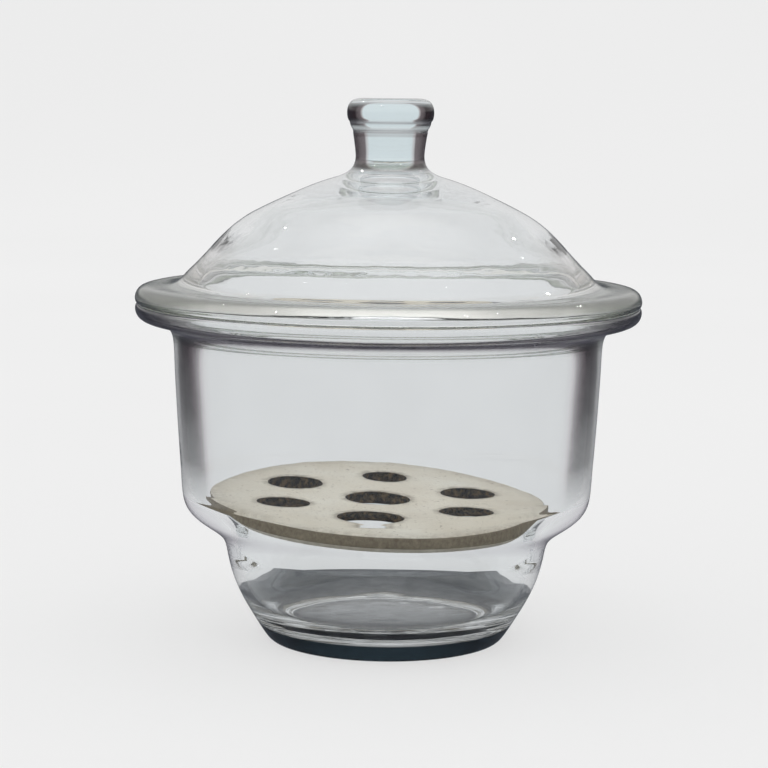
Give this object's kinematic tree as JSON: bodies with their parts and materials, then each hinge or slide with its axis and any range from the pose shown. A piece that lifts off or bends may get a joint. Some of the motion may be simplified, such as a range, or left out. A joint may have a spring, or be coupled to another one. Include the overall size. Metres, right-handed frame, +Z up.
{
  "type": "glass desiccator",
  "caption": "Laboratory desiccator: flanged glass vessel, domed glass lid with a solid knob that slides off its ground seal, and a perforated porcelain plate.",
  "frame": {"origin": "on the axis, at the underside of the foot ring", "axes": "+Z up along the vessel's axis; +X is the way the lid slides off at rest; -Y faces the viewer"},
  "size_m": [0.2716, 0.2716, 0.2906],
  "materials": {
    "glass": "clear pressed soda glass, ground matt on the flange faces",
    "porcelain": "unglazed cream porcelain, lightly stained",
    "grease": "thin translucent sealing grease"
  },
  "bodies": {
    "vessel": {"vessel": "glass"},
    "seal": {"grease_film": "grease"},
    "lid": {"lid": "glass"},
    "plate": {"plate": "porcelain"}
  },
  "joints": [
    {"name": "lid_turn", "type": "hinge", "parent": "vessel", "child": "seal", "pos_m": [0, 0, 0.1812], "axis": [0, 0, 1], "continuous": true},
    {"name": "lid_slide", "type": "slide", "parent": "seal", "child": "lid", "axis": [1, 0, 0], "range_m": [0, 0.28]},
    {"name": "plate_lift", "type": "slide", "parent": "vessel", "child": "plate", "axis": [0, 0, 1], "range_m": [0, 0.108]}
  ]
}
